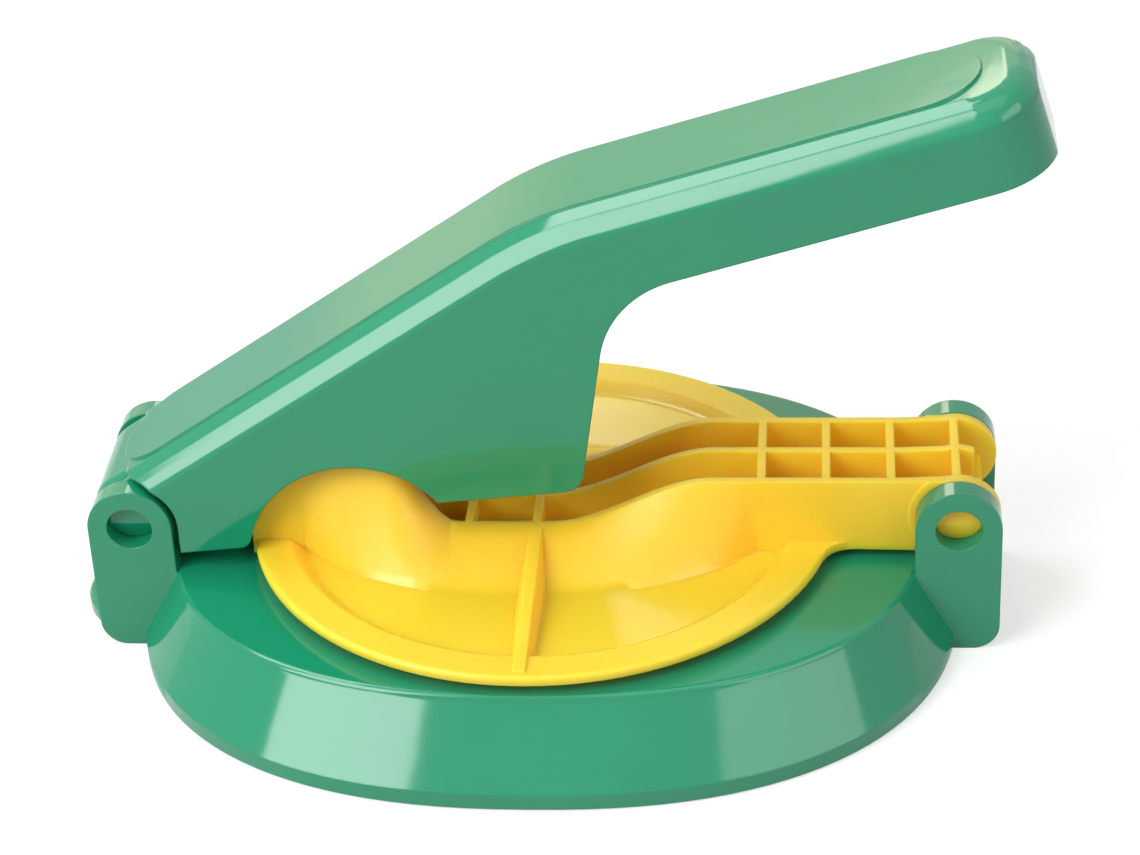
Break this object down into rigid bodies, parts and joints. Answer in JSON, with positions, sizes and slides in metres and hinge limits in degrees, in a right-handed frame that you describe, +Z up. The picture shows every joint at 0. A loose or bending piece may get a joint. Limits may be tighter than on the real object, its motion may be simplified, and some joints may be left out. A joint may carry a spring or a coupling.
{
  "type": "empanada press",
  "caption": "Hand press for dough: a lever handle hinged at one end of a hollow base pushes down a ribbed round plate hinged at the other end.",
  "frame": {"origin": "on the table under the middle of the base, midway between the two hinge axes; the bounding box is centred there to within 1.5 mm", "axes": "+Z up, +X from the handle's hinge to the plate's hinge, the way the grip points; +Y across the press, to the back as the picture is seen"},
  "size_m": [0.2382, 0.1728, 0.1469],
  "materials": {
    "green_plastic": "glossy moulded green plastic",
    "green_handle": "glossy moulded green plastic",
    "yellow_plastic": "semi-gloss moulded yellow plastic"
  },
  "bodies": {
    "base": {"base": "green_plastic"},
    "handle": {"lever_handle": "green_handle"},
    "plate": {"press_plate": "yellow_plastic"}
  },
  "joints": [
    {"name": "handle_hinge", "type": "hinge", "parent": "base", "child": "handle", "pos_m": [-0.1, 0, 0.034], "axis": [0, -1, 0], "range_deg": [0, 110]},
    {"name": "plate_hinge", "type": "hinge", "parent": "base", "child": "plate", "pos_m": [0.1, 0, 0.034], "axis": [0, 1, 0], "range_deg": [0, 33]}
  ],
  "couplings": [
    {"joint": "plate_hinge", "follows": "handle_hinge", "ratio": 0.3}
  ]
}
